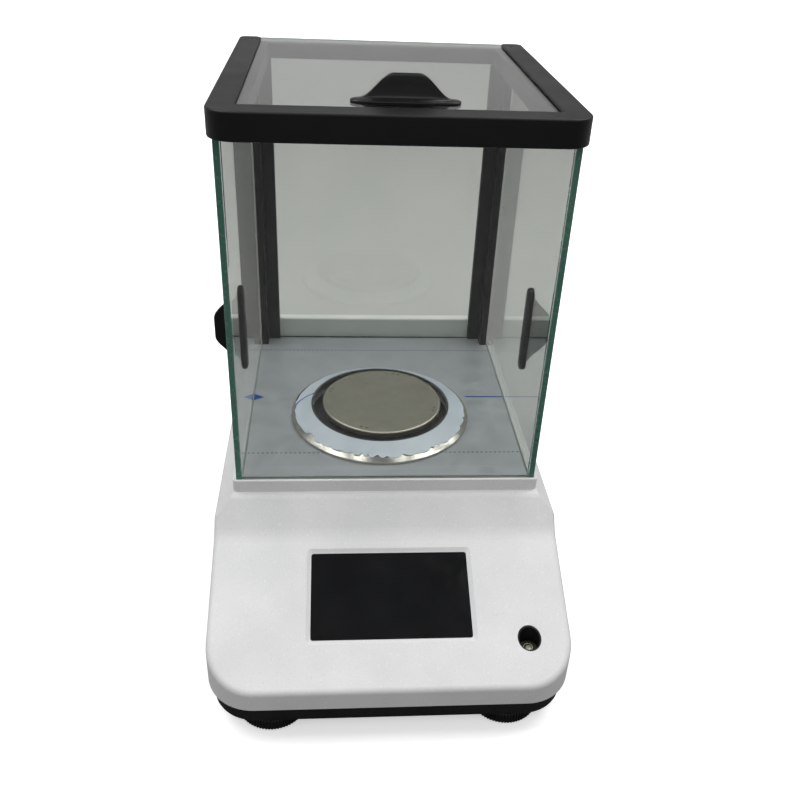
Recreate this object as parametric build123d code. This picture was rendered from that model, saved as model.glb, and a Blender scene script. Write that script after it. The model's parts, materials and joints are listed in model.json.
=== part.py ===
from build123d import *
import math
import os

# Analytical balance with a glass draft shield. Millimetres, +Z up, +X to the user's right, +Y to the back.
# Origin: on the bench, under the centre of the housing.

# ---- driving dimensions ------------------------------------------------------------------------------
# Housing: a white upper shell on a black tray
WIDTH = 215.0
LENGTH = 340.0
FRONT = -LENGTH / 2
BACK = LENGTH / 2
WALL = 3.0
BASE_BOTTOM = 11.0  # underside of the tray
SEAM = 25.0  # where the shell meets the tray
SHOULDER_TOP = 98.5  # flat shoulder round the foot of the platform
SHOULDER_EDGE = 87.0  # height at which the sloping shoulder meets the side wall
SHOULDER_BACK = BACK - 22.0  # where the shoulder starts to fall away at the rear
PLATFORM_TOP = 107.0  # rim that the glass chamber stands in
PLATFORM_WIDTH = 192.7
PLATFORM_FRONT = -63.4
PLATFORM_BACK = 144.5
FRONT_CORNER_R = 29.0
REAR_CORNER_R = 22.0
RIM_R = 4.0  # rounding between the walls and the top
LEDGE_R = 7.0  # convex bend at the top of the control panel
COVE_R = 22.0  # concave bend at the foot of that rise
TRAY_INSET = 3.2
TRAY_OVERLAP = 3.0  # how far the tray telescopes into the shell
TRAY_WALL = 2.5
TRAY_FLOOR = 3.0
FLOOR_TOP = BASE_BOTTOM + TRAY_FLOOR

# Sloping control panel: a plane through PANEL_ORIGIN, tilted about X
SLOPE = math.atan(0.475)
PANEL_ORIGIN = (0.7, -118.3, 63.0)
PANEL_TOP_Y = -83.5
LEDGE_Y = -66.5
SCREEN_W = 95.5
SCREEN_H = 53.8
SCREEN_THICK = 1.7
BEZEL_W = 101.2
BEZEL_H = 59.3
BEZEL_DEPTH = 1.4
DISPLAY_THICK = 4.5
BOARD_THICK = 1.6
CHIP_THICK = 1.8

# Glass chamber
CHAMBER_FRONT = -61.5  # front faces of the front glass and of the door edges
CHAMBER_WIDTH = 188.0  # over the outer faces of the two doors
GLASS = 3.5
TOP_GLASS = 3.0
GAP = 0.3  # running gap of a sliding pane in its groove
SNUG = 0.2  # gap round a fixed pane
DOOR_LENGTH = 196.0
GROOVE_FLOOR = 103.0
FLOOR_PLATE = 1.0
RUNNER = 1.0

# Top frame, a U that opens to the rear
FRAME_WIDTH = 193.7
FRAME_BOTTOM = 318.6
FRAME_TOP = 333.3
FRAME_FRONT = -72.6
FRAME_BAR = 16.5  # depth of the front bar
FRAME_ARM = 14.35  # width of an arm's top face
FRAME_BACK = 138.5
FRAME_CORNER_R = 14.0
FRAME_RAIL = 5.5  # how far the lower rail stands in from the top face
FRAME_EDGE_R = 0.9
LIP = 1.2
PANE_BITE = 3.0  # how deep the top pane sits in its groove
PANE_GROOVE = 323.3  # top of the grooves that hold the upright panes
TOP_PANE_Z = FRAME_TOP - LIP - GAP - TOP_GLASS

# Rear pillars
PILLAR_FRONT = 118.0
PILLAR_STEP_Y = 128.4
PILLAR_BACK = 135.5
PILLAR_OUT = 89.9
PILLAR_STEP_X = 84.9
PILLAR_IN = 76.2
REAR_GLASS_Y = 129.9
REAR_GLASS_HALF = 78.9
SILL_TOP = 123.0
FRAME_SCREW_X = 87.6
FRAME_SCREW_Y = 124.0

# Pan and draft ring
PAN_Y = 15.5
PAN_R = 41.0
PAN_TOP = 118.5
PAN_SHEET = 1.2
PAN_RIM = 4.0
PIN_R = 3.0
RING_X = -1.0
RING_OUT_R = 61.75
RING_IN_R = 46.5
RING_TOP = 116.0
STEM_HOLE_R = 15.0

# Door grips
GRIP_LENGTH = 58.0
GRIP_WIDTH = 10.0
GRIP_FLANGE = 2.4
GRIP_FIN = 14.3  # total height over the glass
GRIP_FIN_THICK = 3.4
GRIP_EDGE_R = 0.9
SIDE_GRIP_Y = -4.5
SIDE_GRIP_Z = 184.0
TOP_GRIP_X = 3.8
TOP_GRIP_Y = -36.5

# Levelling feet
FOOT_X = 70.0
FOOT_FRONT_Y = -144.5
FOOT_REAR_Y = 138.0
FEET = {
    "front_left": (-FOOT_X, FOOT_FRONT_Y),
    "front_right": (FOOT_X, FOOT_FRONT_Y),
    "rear_left": (-FOOT_X, FOOT_REAR_Y),
    "rear_right": (FOOT_X, FOOT_REAR_Y),
}
FOOT_R = 21.0
FOOT_RIBS = 72
RIB_DEPTH = 0.8
STUD_R = 4.0
STUD_TOP = 24.5
BUSH_BORE_R = 4.05
BUSH_R = 6.0
PAD_R = 16.0
PAD_THICK = 1.9
PAD_PIN_R = 3.0

# Level
LEVEL_X = 81.8
LEVEL_Y = -144.0
LEVEL_BORE_R = 6.2
LEVEL_CUP_R = 7.1
LEVEL_CUP_BOTTOM = 34.0
LEVEL_CUP_FLOOR = 36.0
VIAL_TOP = 43.0

# Fasteners, posts and the port under the pan, as (x, y) places on the tray
SCREW_SPOTS = [(-92, -100), (92, -100), (-94, 20), (94, 20), (-92, 112), (92, 112)]
CELL_POSTS = [(-36, -8), (36, -8), (-36, 122), (36, 122)]
BOARD_POSTS = [(78, 30), (98, 30), (78, 96), (98, 96)]
SCREW_R = 1.5
SCREW_HEAD_R = 2.8
POST_BORE_R = 1.6
BOARD_Z = 34.0
HOOK_R = 9.0
HOOK_PIVOT_X = 16.0
HOOK_PIVOT_R = 2.0
COVER_TOP = BASE_BOTTOM - 0.3
COVER_BOTTOM = BASE_BOTTOM - 1.7

# Weighing cell
LEVER_PIVOT_Y = 40.0
LEVER_Z = 62.0
LEVER_THICK = 6.0
PIVOT_R = 2.5
COIL_Y = 104.0
COIL_R = 10.0
CELL_PLATE_Z = (20.0, 26.0)
GUIDE_Z = (29.0, 84.0)
CAL_SCREW_X = -74.0
CAL_WEIGHT_X = -46.0
CAL_ROD_Y = PAN_Y + 16.0
CAL_SCREW_R = 2.5
CAL_ROD_R = 2.0
CAL_TOP = 74.0
RUNNING = 0.05

# Rear connectors
PANEL_Z = 52.0
PANEL_HALF_W = 66.0
PANEL_HALF_H = 13.0
POWER_X = -42.0
SERIAL_X = 5.0
USB_X = 46.0
JACKSCREW_PITCH = 25.0
JACKSCREW_R = 1.42
PIN_PITCH = 2.76
PIN_ROW = 1.4

CUT = 1.0  # how far a cutting shape runs past the face that it opens


# ---- helpers -----------------------------------------------------------------------------------------
def block(x, y, z):
    """Box between two x values, two y values and two z values."""
    centre = Pos((x[0] + x[1]) / 2, (y[0] + y[1]) / 2, (z[0] + z[1]) / 2)
    return centre * Box(x[1] - x[0], y[1] - y[0], z[1] - z[0])


def rod(x, y, z, radius):
    """Upright cylinder at x, y between two z values."""
    return Pos(x, y, (z[0] + z[1]) / 2) * Cylinder(radius, z[1] - z[0])


def rod_x(half, y, z, radius):
    """Cylinder along X, centred on x = 0."""
    return Pos(0, y, z) * Rot(0, 90, 0) * Cylinder(radius, 2 * half)


def rod_y(x, y, z, radius):
    """Cylinder along Y between two y values."""
    return Pos(x, (y[0] + y[1]) / 2, z) * Rot(90, 0, 0) * Cylinder(radius, y[1] - y[0])


def slab(width, y, z, front_radius, rear_radius):
    """Upright plate, centred on x = 0, with its vertical corners rounded."""
    plate = block((-width / 2, width / 2), y, z)
    front_edges = plate.edges().filter_by(Axis.Z).group_by(Axis.Y)[0]
    plate = fillet(front_edges, front_radius)
    rear_edges = plate.edges().filter_by(Axis.Z).group_by(Axis.Y)[-1]
    return fillet(rear_edges, rear_radius)


def extrude_xz(points, y):
    """Prism along Y, from y[0] to y[1], with an outline given as (x, z) points."""
    outline = make_face(Plane.XZ.offset(-y[0]) * Polyline(*points, close=True))
    return extrude(outline, amount=-(y[1] - y[0]))


def extrude_xy(points, z):
    """Upright prism with a plan outline given as (x, y) points."""
    outline = make_face(Plane.XY.offset(z[0]) * Polyline(*points, close=True))
    return extrude(outline, amount=z[1] - z[0])


def turned(x, y, points):
    """Solid of revolution about a vertical axis at x, y, from (radius, z) points."""
    outline = make_face(Plane.XZ * Polyline(*points, close=True))
    return Pos(x, y, 0) * revolve(outline, Axis.Z)


def mirrored(shape):
    """The same piece on the other side of the centre plane."""
    return mirror(shape, Plane.YZ)


def group(shapes):
    """Separate solids that share one node."""
    return Compound(children=list(shapes))


def cross_recess(x, y, z, half_length, half_width):
    """Cross that a screwdriver fits, sunk in a screw head between two z values."""
    along = block((x - half_length, x + half_length), (y - half_width, y + half_width), z)
    across = block((x - half_width, x + half_width), (y - half_length, y + half_length), z)
    return along + across


def save(name, shape):
    export_step(shape, f"parts/{name}.step")


def panel_z(y):
    """Height of the sloping control panel at y."""
    return PANEL_ORIGIN[2] + math.tan(SLOPE) * (y - PANEL_ORIGIN[1])


panel = Plane(
    origin=PANEL_ORIGIN,
    x_dir=(1, 0, 0),
    z_dir=(0, -math.sin(SLOPE), math.cos(SLOPE)),
)


def on_panel(width, height, low, high, radius=0.0):
    """Plate parallel to the control panel, between two distances from it."""
    plate = Pos(0, 0, (low + high) / 2) * Box(width, height, high - low)
    if radius:
        plate = fillet(plate.edges().filter_by(Axis.Z), radius)
    return panel * plate


# ---- housing -----------------------------------------------------------------------------------------
def side_outline(drop, bottom):
    """Side view of the shell, lowered by drop, with the bends at both ends of the rise."""
    past = 5.0
    points = [
        (FRONT - past, bottom),
        (FRONT - past, panel_z(FRONT - past) - drop),
        (PANEL_TOP_Y, panel_z(PANEL_TOP_Y) - drop),
        (LEDGE_Y, SHOULDER_TOP - drop),
        (SHOULDER_BACK, SHOULDER_TOP - drop),
        (BACK + past, SHOULDER_TOP - 20.0 - drop),
        (BACK + past, bottom),
    ]
    face = make_face(Plane.YZ * Polyline(*points, close=True))
    ledge = face.vertices().sort_by_distance((0, LEDGE_Y, SHOULDER_TOP - drop))[0]
    face = fillet(ledge, LEDGE_R)
    cove = face.vertices().sort_by_distance((0, PANEL_TOP_Y, panel_z(PANEL_TOP_Y) - drop))[0]
    return fillet(cove, COVE_R)


def shoulder_wedge(drop):
    """What the sloping shoulder takes off the right side of the shell."""
    past = 10.0
    foot_x = PLATFORM_WIDTH / 2
    slope = (SHOULDER_TOP - SHOULDER_EDGE) / (WIDTH / 2 - foot_x)
    top = SHOULDER_TOP + past
    points = [
        (foot_x - past / slope, top - drop),
        (WIDTH / 2 + past, SHOULDER_EDGE - past * slope - drop),
        (WIDTH / 2 + past, top),
        (foot_x - past / slope, top),
    ]
    return extrude_xz(points, (FRONT - past, BACK + past))


def housing_block(inset):
    """Outer form of the upper shell, or the same form made smaller all round by inset."""
    drop = inset * 1.15
    bottom = SEAM - CUT if inset else SEAM
    outline = slab(
        WIDTH - 2 * inset,
        (FRONT + inset, BACK - inset),
        (bottom, SHOULDER_TOP + 5),
        FRONT_CORNER_R - inset,
        REAR_CORNER_R - inset,
    )
    form = extrude(side_outline(drop, bottom), amount=WIDTH, both=True) & outline
    wedge = shoulder_wedge(drop)
    return form - wedge - mirrored(wedge)


def on_corner(point, centre_x, centre_y, radius, forward):
    """True for a point on the rounded upright corner about centre_x, centre_y, on either side."""
    beyond_x = abs(point.X) > centre_x
    beyond_y = (point.Y < centre_y) if forward else (point.Y > centre_y)
    reach = math.hypot(abs(point.X) - centre_x, point.Y - centre_y)
    return beyond_x and beyond_y and abs(reach - radius) < 0.01


def on_side_wall(edge):
    """True for an edge that lies on the shell's upright outer wall."""
    point = edge.position_at(0.5)
    flat_side = abs(abs(point.X) - WIDTH / 2) < 0.01
    flat_end = abs(abs(point.Y) - LENGTH / 2) < 0.01
    front_x = WIDTH / 2 - FRONT_CORNER_R
    rear_x = WIDTH / 2 - REAR_CORNER_R
    in_front = on_corner(point, front_x, FRONT + FRONT_CORNER_R, FRONT_CORNER_R, True)
    in_rear = on_corner(point, rear_x, BACK - REAR_CORNER_R, REAR_CORNER_R, False)
    return flat_side or flat_end or in_front or in_rear


def make_shell():
    """Hollow shell with rounded rims and the platform for the chamber on top."""
    form = housing_block(0)
    rim_edges = [
        edge
        for edge in form.edges()
        if edge.center().Z > SEAM + 2 and abs(edge.tangent_at(0.5).Z) < 0.97 and on_side_wall(edge)
    ]
    form = fillet(rim_edges, RIM_R) - housing_block(WALL)
    platform_y = (PLATFORM_FRONT, PLATFORM_BACK)
    platform = slab(PLATFORM_WIDTH, platform_y, (SHOULDER_TOP - 4, PLATFORM_TOP), 3.0, 3.0)
    platform = fillet(platform.faces().sort_by(Axis.Z)[-1].edges(), 0.6)
    underside = block((-84, 84), (-56, 124), (SHOULDER_TOP - 6, PLATFORM_TOP - 5.5))
    return form + platform - underside


def chamber_seat():
    """Recess for the floor plate, the grooves that the panes stand in and the passage for the pan stem."""
    inner = CHAMBER_WIDTH / 2 - GLASS - GAP
    outer = inner + GLASS + 2 * GAP
    top = PLATFORM_TOP + CUT
    front_y = CHAMBER_FRONT - SNUG
    plate_seat = block((-inner, inner), (CHAMBER_FRONT, PILLAR_BACK + 2), (PLATFORM_TOP - FLOOR_PLATE, top))
    front_groove = block((-outer, outer), (front_y, CHAMBER_FRONT + GLASS + SNUG), (GROOVE_FLOOR, top))
    side_groove = block((inner, outer), (front_y, PLATFORM_BACK + CUT), (GROOVE_FLOOR, top))
    passage = rod(0, PAN_Y, (SHOULDER_TOP - 10, top), STEM_HOLE_R)
    return plate_seat + front_groove + side_groove + mirrored(side_groove) + passage


def screen_window():
    """Window for the screen with its bevelled border."""
    window = on_panel(SCREEN_W + 0.4, SCREEN_H + 0.4, -8, 4, 1.6)
    rise = 0.6
    border = loft(
        [
            panel * Pos(0, 0, rise) * RectangleRounded(BEZEL_W + 2.2, BEZEL_H + 2.2, 3.0),
            panel * Pos(0, 0, -BEZEL_DEPTH) * RectangleRounded(SCREEN_W + 1.0, SCREEN_H + 1.0, 2.0),
        ]
    )
    return window + border


def make_upper_housing():
    form = make_shell() - chamber_seat() - screen_window()
    form = form - rod(LEVEL_X, LEVEL_Y, (SEAM + 2, SHOULDER_TOP), LEVEL_CUP_R)
    panel_hole = block(
        (-PANEL_HALF_W, PANEL_HALF_W),
        (BACK - WALL - CUT, BACK + CUT),
        (PANEL_Z - PANEL_HALF_H, PANEL_Z + PANEL_HALF_H),
    )
    form = form - panel_hole
    # screw pillars that reach down to the tray
    for x, y in SCREW_SPOTS:
        top = min(panel_z(y), SHOULDER_TOP) - 3.0
        pillar = rod(x, y, (FLOOR_TOP + 2.0, top), 4.0)
        form = form + (pillar - rod(x, y, (FLOOR_TOP + 1.0, top - 12), POST_BORE_R))
    return form


def make_tray_shell():
    """Open tray with its bottom edge rounded."""
    width = WIDTH - 2 * TRAY_INSET
    y = (FRONT + TRAY_INSET, BACK - TRAY_INSET)
    front_r = FRONT_CORNER_R - TRAY_INSET
    rear_r = REAR_CORNER_R - TRAY_INSET
    tray = slab(width, y, (BASE_BOTTOM, SEAM + TRAY_OVERLAP), front_r, rear_r)
    tray = fillet(tray.faces().sort_by(Axis.Z)[0].edges(), 2.5)
    inside_y = (y[0] + TRAY_WALL, y[1] - TRAY_WALL)
    inside = slab(
        width - 2 * TRAY_WALL, inside_y, (FLOOR_TOP, SEAM + 9), front_r - TRAY_WALL, rear_r - TRAY_WALL
    )
    return tray - inside


def make_base_tray():
    tray = make_tray_shell()
    root = FLOOR_TOP - 1.0
    under = BASE_BOTTOM - CUT
    for x, y in FEET.values():
        tray = tray + rod(x, y, (root, SEAM), 10.0)
        tray = tray - rod(x, y, (under, SEAM + CUT), BUSH_R)
    for x, y in SCREW_SPOTS:
        tray = tray + rod(x, y, (root, FLOOR_TOP + 2), 5.5)
        tray = tray - rod(x, y, (under, FLOOR_TOP + 3), SCREW_R + 0.2)
        tray = tray - rod(x, y, (under, BASE_BOTTOM + 2), SCREW_HEAD_R + 0.4)
    for x, y in CELL_POSTS:
        tray = tray + rod(x, y, (root, CELL_PLATE_Z[0]), 6.0)
        tray = tray - rod(x, y, (FLOOR_TOP + 1, CELL_PLATE_Z[0] + CUT), POST_BORE_R)
    for x, y in BOARD_POSTS:
        tray = tray + rod(x, y, (root, BOARD_Z), 3.0)
        tray = tray + rod(x, y, (BOARD_Z - CUT, BOARD_Z + 2.4), 1.5)
    # port for hanging a load under the balance, and the headed pivot of its cover
    tray = tray - rod(0, PAN_Y, (under, FLOOR_TOP + CUT), HOOK_R)
    tray = tray + rod(HOOK_PIVOT_X, PAN_Y, (BASE_BOTTOM - 2.5, BASE_BOTTOM + 1), HOOK_PIVOT_R)
    return tray + rod(HOOK_PIVOT_X, PAN_Y, (BASE_BOTTOM - 3.2, BASE_BOTTOM - 2.0), 3.6)


def make_bush(x, y):
    """Brass bush, pressed into its boss, that a foot's stud screws through."""
    return rod(x, y, (BASE_BOTTOM, SEAM), BUSH_R) - rod(x, y, (BASE_BOTTOM - CUT, SEAM + CUT), BUSH_BORE_R)


def make_housing_screw(x, y):
    head = rod(x, y, (BASE_BOTTOM + 0.4, BASE_BOTTOM + 2), SCREW_HEAD_R)
    shank = rod(x, y, (BASE_BOTTOM + 2, BASE_BOTTOM + 13), SCREW_R)
    return head + shank - cross_recess(x, y, (BASE_BOTTOM, BASE_BOTTOM + 1.1), 1.8, 0.4)


def make_hook_cover():
    """Flat cover under the hanging port, which swings aside about its pivot."""
    z = (COVER_BOTTOM, COVER_TOP)
    plate = rod(0, PAN_Y, z, HOOK_R + 2.5)
    tail = block((0, HOOK_PIVOT_X), (PAN_Y - 5, PAN_Y + 5), z)
    end = rod(HOOK_PIVOT_X, PAN_Y, z, 5.0)
    bore = rod(HOOK_PIVOT_X, PAN_Y, (COVER_BOTTOM - 0.3, COVER_TOP + 0.3), HOOK_PIVOT_R + RUNNING)
    return plate + tail + end - bore


# ---- levelling feet ----------------------------------------------------------------------------------
def ribbed_disc(x, y, z):
    """Disc whose rim has fine upright ribs."""
    points = []
    for rib in range(FOOT_RIBS):
        for part, depth in ((0.0, 0.0), (0.5, 0.0), (0.62, RIB_DEPTH), (0.88, RIB_DEPTH)):
            angle = 2 * math.pi * (rib + part) / FOOT_RIBS
            radius = FOOT_R - depth
            points.append((x + radius * math.cos(angle), y + radius * math.sin(angle)))
    return extrude_xy(points, z)


def make_foot_wheel(x, y):
    """Ribbed wheel with the stud moulded in, hollow underneath for the rubber pad and its pin."""
    outline = [
        (0, 1.0),
        (FOOT_R - 2, 1.0),
        (FOOT_R + 0.4, 2.6),
        (FOOT_R + 0.4, 8.4),
        (FOOT_R - 1, 10),
        (0, 10),
    ]
    wheel = ribbed_disc(x, y, (1.4, 9.6)) & turned(x, y, outline)
    wheel = wheel + rod(x, y, (9, STUD_TOP), STUD_R)
    wheel = wheel - rod(x, y, (1, 2.2), PAD_R + 0.5)
    return wheel - rod(x, y, (2, 5.4), PAD_PIN_R + RUNNING)


def make_foot_pad(x, y):
    pad = rod(x, y, (0, PAD_THICK), PAD_R)
    pad = fillet(pad.edges().sort_by(Axis.Z)[0], 0.5)
    return pad + rod(x, y, (PAD_THICK - 0.4, 5.0), PAD_PIN_R)


# ---- level, screen -----------------------------------------------------------------------------------
def make_level_cup():
    """Black cup that lines the hole in the panel and holds the vial, cut off just under the panel."""
    cup = rod(LEVEL_X, LEVEL_Y, (LEVEL_CUP_BOTTOM, 60), LEVEL_CUP_R)
    cup = cup - rod(LEVEL_X, LEVEL_Y, (LEVEL_CUP_FLOOR, 61), LEVEL_BORE_R)
    return cup - on_panel(2 * WIDTH, 2 * WIDTH, -0.3, 40)


def make_level_vial():
    vial = rod(LEVEL_X, LEVEL_Y, (LEVEL_CUP_FLOOR, VIAL_TOP), LEVEL_BORE_R - 0.1)
    return fillet(vial.edges().sort_by(Axis.Z)[-1], 1.2)


def make_touch_glass():
    return on_panel(SCREEN_W, SCREEN_H, -BEZEL_DEPTH - SCREEN_THICK, -BEZEL_DEPTH, 1.4)


def make_display_module():
    top = -BEZEL_DEPTH - SCREEN_THICK
    return on_panel(SCREEN_W - 1, SCREEN_H - 1, top - DISPLAY_THICK, top)


def make_display_board():
    top = -BEZEL_DEPTH - SCREEN_THICK - DISPLAY_THICK
    board = on_panel(SCREEN_W + 12, SCREEN_H + 6, top - BOARD_THICK, top)
    chip = on_panel(14, 14, top - BOARD_THICK - CHIP_THICK, top - BOARD_THICK)
    return board + chip


# ---- chamber -----------------------------------------------------------------------------------------
def make_floor_plate():
    half = CHAMBER_WIDTH / 2 - GLASS - GAP - SNUG
    y = (CHAMBER_FRONT + GLASS + GAP, PILLAR_BACK + 1.8)
    plate = block((-half, half), y, (PLATFORM_TOP - FLOOR_PLATE, PLATFORM_TOP))
    return plate - rod(0, PAN_Y, (PLATFORM_TOP - 2, PLATFORM_TOP + CUT), STEM_HOLE_R)


def make_cell_collar():
    """Low lip round the passage of the pan stem, which centres the draft ring."""
    inner = STEM_HOLE_R + 1
    outer = RING_IN_R - 2.5
    points = [
        (inner, PLATFORM_TOP),
        (outer, PLATFORM_TOP),
        (outer - 0.5, PLATFORM_TOP + 1.2),
        (inner + 3, PLATFORM_TOP + 1.2),
        (inner + 2, PLATFORM_TOP + 3),
        (inner, PLATFORM_TOP + 3),
    ]
    return turned(0, PAN_Y, points)


def make_draft_ring():
    """Pressed dish: a shallow cone that rises from a rolled outer edge to a plain inner edge."""
    base = PLATFORM_TOP
    points = [
        (RING_OUT_R - 1.2, base),
        (RING_OUT_R - 0.3, base + 0.1),
        (RING_OUT_R, base + 0.8),
        (RING_OUT_R - 0.2, base + 1.9),
        (RING_OUT_R - 1.3, base + 2.5),
        (RING_IN_R + 1.2, RING_TOP),
        (RING_IN_R, RING_TOP),
        (RING_IN_R, RING_TOP - 1.0),
        (RING_IN_R + 1.0, RING_TOP - 1.0),
        (RING_OUT_R - 1.9, base + 1.5),
    ]
    return turned(RING_X, PAN_Y, points)


def make_pan():
    """Round pan with its rim turned down, on a hub that sits over the pan pin."""
    rim_in = PAN_R - 0.9
    hub_bottom = PAN_TOP - 14.5
    points = [
        (0, PAN_TOP),
        (rim_in, PAN_TOP),
        (PAN_R - 0.3, PAN_TOP - 0.3),
        (PAN_R, PAN_TOP - 0.9),
        (PAN_R, PAN_TOP - PAN_RIM),
        (rim_in, PAN_TOP - PAN_RIM),
        (rim_in, PAN_TOP - PAN_SHEET),
        (7, PAN_TOP - PAN_SHEET),
        (6, PAN_TOP - 2 * PAN_SHEET),
        (6, hub_bottom),
        (0, hub_bottom),
    ]
    return turned(0, PAN_Y, points) - rod(0, PAN_Y, (hub_bottom - CUT, PAN_TOP - 5), PIN_R + RUNNING)


def pane(x, y, z, edge):
    """Upright or level sheet of glass with its upright corners chamfered."""
    return chamfer(block(x, y, z).edges().filter_by(Axis.Z), edge)


def make_front_glass():
    half = CHAMBER_WIDTH / 2 - GLASS - GAP
    y = (CHAMBER_FRONT, CHAMBER_FRONT + GLASS)
    return pane((-half, half), y, (GROOVE_FLOOR, PANE_GROOVE - GAP), 0.3)


def make_rear_glass():
    x = (-REAR_GLASS_HALF, REAR_GLASS_HALF)
    y = (REAR_GLASS_Y, REAR_GLASS_Y + GLASS)
    return pane(x, y, (PLATFORM_TOP, FRAME_BOTTOM + 2.7), 0.3)


def make_side_glass():
    outer = CHAMBER_WIDTH / 2
    y = (CHAMBER_FRONT, CHAMBER_FRONT + DOOR_LENGTH)
    return pane((outer - GLASS, outer), y, (GROOVE_FLOOR + RUNNER + SNUG, PANE_GROOVE - 0.4), 0.4)


def make_top_glass():
    half = FRAME_WIDTH / 2 - FRAME_ARM + PANE_BITE
    y = (FRAME_FRONT + FRAME_BAR - PANE_BITE, FRAME_BACK + 5.0)
    return pane((-half, half), y, (TOP_PANE_Z, TOP_PANE_Z + TOP_GLASS), 0.6)


def make_runners():
    """Low friction strips at the bottom of the door grooves."""
    outer = CHAMBER_WIDTH / 2 + 0.1
    y = (CHAMBER_FRONT + 4, PLATFORM_BACK - 2)
    strip = block((outer - GLASS - 0.2, outer), y, (GROOVE_FLOOR, GROOVE_FLOOR + RUNNER))
    return group([strip, mirrored(strip)])


def frame_bars(inner_x, inner_y):
    """The U of the top frame, with rails under the top pane and every visible edge rounded."""
    height = (FRAME_BOTTOM, FRAME_TOP)
    frame = slab(FRAME_WIDTH, (FRAME_FRONT, FRAME_BACK), height, FRAME_CORNER_R, 5.0)
    opening = block((-inner_x, inner_x), (inner_y, FRAME_BACK + CUT), (FRAME_BOTTOM - CUT, FRAME_TOP + CUT))
    frame = frame - opening
    inner_ends = frame.edges().filter_by(Axis.Z).group_by(Axis.Y)[-1]
    frame = fillet(inner_ends, 4.0)
    rail_x = (inner_x - FRAME_RAIL, inner_x + CUT)
    rail = block(rail_x, (inner_y - CUT, PILLAR_STEP_Y), (FRAME_BOTTOM, TOP_PANE_Z - GAP))
    frame = frame + rail + mirrored(rail)
    top_edges = [edge for edge in frame.edges() if edge.center().Z > FRAME_TOP - 0.01]
    frame = fillet(top_edges, FRAME_EDGE_R)
    low_edges = [
        edge
        for edge in frame.faces().sort_by(Axis.Z)[0].edges()
        if edge.center().Y < FRAME_FRONT + 12 or abs(edge.center().X) > FRAME_WIDTH / 2 - 1
    ]
    return fillet(low_edges, FRAME_EDGE_R)


def make_top_frame():
    inner_x = FRAME_WIDTH / 2 - FRAME_ARM
    inner_y = FRAME_FRONT + FRAME_BAR
    frame = frame_bars(inner_x, inner_y)
    # groove for the sliding top pane, open to the rear
    slot_x = inner_x + PANE_BITE + GAP
    slot_z = (TOP_PANE_Z - GAP, TOP_PANE_Z + TOP_GLASS + GAP)
    frame = frame - block((-slot_x, slot_x), (inner_y - PANE_BITE - GAP, FRAME_BACK + CUT), slot_z)
    # grooves for the front pane and the two doors
    outer = CHAMBER_WIDTH / 2 + GAP
    front_y = CHAMBER_FRONT - SNUG
    groove_z = (FRAME_BOTTOM - CUT, PANE_GROOVE)
    front_groove = block((-outer, outer), (front_y, CHAMBER_FRONT + GLASS + SNUG), groove_z)
    side_groove = block((outer - GLASS - 2 * GAP, outer), (front_y, FRAME_BACK + CUT), groove_z)
    frame = frame - front_groove - side_groove - mirrored(side_groove)
    # screw holes down into the pillars
    for x in (-FRAME_SCREW_X, FRAME_SCREW_X):
        frame = frame - rod(x, FRAME_SCREW_Y, (FRAME_BOTTOM - CUT, FRAME_TOP + CUT), 1.6)
        frame = frame - rod(x, FRAME_SCREW_Y, (FRAME_TOP - LIP, FRAME_TOP + CUT), 2.3)
    return frame


def make_frame_screw(x):
    head = rod(x, FRAME_SCREW_Y, (FRAME_TOP - LIP, FRAME_TOP - 0.1), 2.2)
    shank = rod(x, FRAME_SCREW_Y, (FRAME_BOTTOM - 9, FRAME_TOP - LIP), SCREW_R)
    return head + shank - cross_recess(x, FRAME_SCREW_Y, (FRAME_TOP - 0.7, FRAME_TOP), 1.5, 0.3)


def make_pillar():
    """Right rear pillar, stepped for the door and grooved for the rear glass."""
    groove_x = REAR_GLASS_HALF + SNUG
    groove_back = REAR_GLASS_Y + GLASS + SNUG
    points = [
        (PILLAR_OUT, PILLAR_FRONT),
        (PILLAR_OUT, PILLAR_BACK),
        (PILLAR_IN, PILLAR_BACK),
        (PILLAR_IN, groove_back),
        (groove_x, groove_back),
        (groove_x, REAR_GLASS_Y - SNUG),
        (PILLAR_IN, REAR_GLASS_Y - SNUG),
        (PILLAR_IN, PILLAR_STEP_Y),
        (PILLAR_STEP_X, PILLAR_STEP_Y),
        (PILLAR_STEP_X, PILLAR_FRONT),
    ]
    pillar = extrude_xy(points, (PLATFORM_TOP, FRAME_BOTTOM))
    return pillar - rod(FRAME_SCREW_X, FRAME_SCREW_Y, (FRAME_BOTTOM - 10, FRAME_BOTTOM + CUT), SCREW_R)


def make_rear_crossbar():
    half = FRAME_WIDTH / 2 - FRAME_ARM
    bar = block((-half, half), (PILLAR_STEP_Y, PILLAR_BACK), (FRAME_BOTTOM, TOP_PANE_Z - 0.5))
    front_edges = bar.edges().filter_by(Axis.X).group_by(Axis.Y)[0]
    bar = fillet(front_edges, 1.0)
    groove_half = REAR_GLASS_HALF + SNUG
    groove_y = (REAR_GLASS_Y - SNUG, REAR_GLASS_Y + GLASS + SNUG)
    return bar - block((-groove_half, groove_half), groove_y, (FRAME_BOTTOM - CUT, FRAME_BOTTOM + 3))


def make_rear_sill():
    """Strip that closes the foot of the rear glass between the pillars."""
    y = (REAR_GLASS_Y + GLASS + SNUG, PILLAR_BACK + 6)
    sill = block((-PILLAR_IN, PILLAR_IN), y, (PLATFORM_TOP, SILL_TOP))
    return fillet(sill.edges().filter_by(Axis.X).group_by(Axis.Z)[-1], 1.5)


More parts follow.
